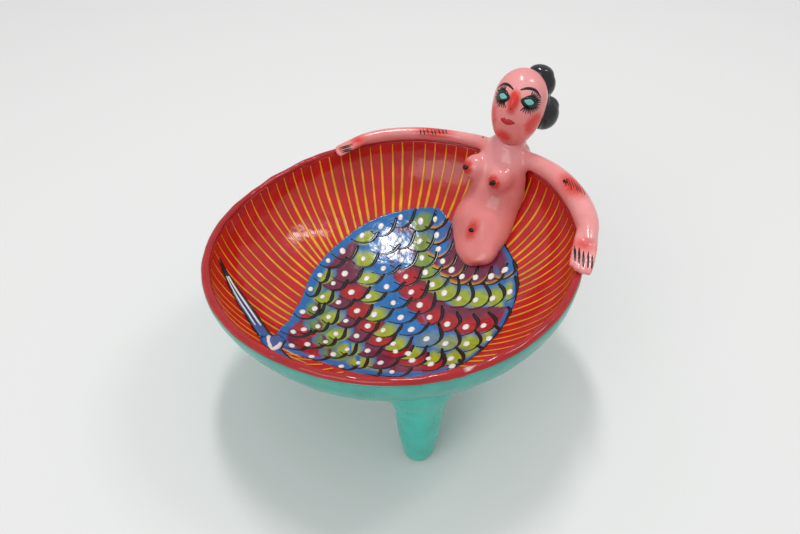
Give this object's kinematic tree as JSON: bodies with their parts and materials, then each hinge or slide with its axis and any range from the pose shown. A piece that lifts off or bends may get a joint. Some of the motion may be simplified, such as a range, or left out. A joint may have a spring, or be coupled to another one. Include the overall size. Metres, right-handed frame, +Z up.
{
  "type": "footed papier-mache mermaid bowl",
  "caption": "Round papier-mache bowl on short tapered feet, with a mermaid figure whose torso, arms and head lean on the rim and whose tail is painted inside.",
  "frame": {"origin": "on the table, under the middle of the whole object's plan box", "axes": "+Z up; -Y towards the front foot's side, where the viewer stands; +X towards the side that the figure leans over"},
  "size_m": [0.1709, 0.167, 0.129],
  "materials": {
    "bowl_paint": "glossy varnished paint",
    "rim_paint": "glossy varnished paint",
    "feet_paint": "glossy varnished paint",
    "skin_paint": "glossy varnished paint",
    "blush_paint": "glossy varnished paint",
    "hair_paint": "glossy varnished paint",
    "stick_wood": "raw",
    "wire_steel": "drawn wire"
  },
  "bodies": {
    "root": {"bowl_shell": "bowl_paint", "rim_roll": "rim_paint", "foot_front": "feet_paint", "foot_right": "feet_paint", "foot_left": "feet_paint", "foot_sticks": "stick_wood", "torso": "skin_paint", "neck": "skin_paint", "breast_left": "skin_paint", "breast_right": "skin_paint", "head": "skin_paint", "nose": "blush_paint", "hair_cap": "hair_paint", "hair_topknot": "hair_paint", "hair_bun": "hair_paint", "arm_left": "skin_paint", "arm_right": "skin_paint", "hand_left": "skin_paint", "hand_right": "skin_paint", "neck_wire": "wire_steel", "left_arm_wire": "wire_steel", "right_arm_wire": "wire_steel"}
  },
  "joints": []
}
